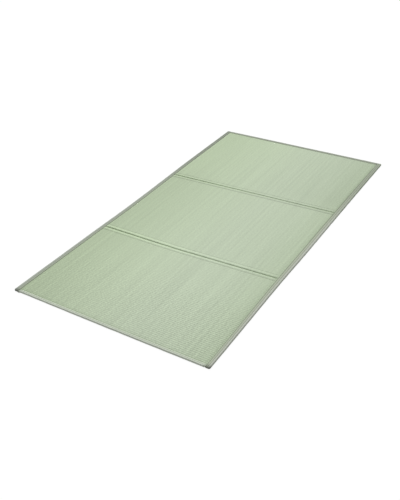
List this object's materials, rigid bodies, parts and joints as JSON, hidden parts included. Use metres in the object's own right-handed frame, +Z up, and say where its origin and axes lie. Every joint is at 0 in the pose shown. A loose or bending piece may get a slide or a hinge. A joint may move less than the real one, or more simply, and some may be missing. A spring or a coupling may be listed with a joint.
{
  "type": "tatami mat",
  "caption": "Folding tatami mat of woven rush in panels, lying open and flat, with cloth binding folded round all its edges.",
  "frame": {"origin": "middle of the mat's underside, on the surface it lies on", "axes": "+Y along the mat from its near end to its far end, +X across it to the right, +Z up"},
  "size_m": [0.95, 1.8, 0.008],
  "materials": {
    "woven_rush": "matt woven rush, pale green",
    "binding_cloth": "matt plain-woven cotton, grey green"
  },
  "bodies": {
    "root": {"woven_mat": "woven_rush", "binding_near": "binding_cloth", "binding_far": "binding_cloth", "binding_left": "binding_cloth", "binding_right": "binding_cloth"}
  },
  "joints": []
}
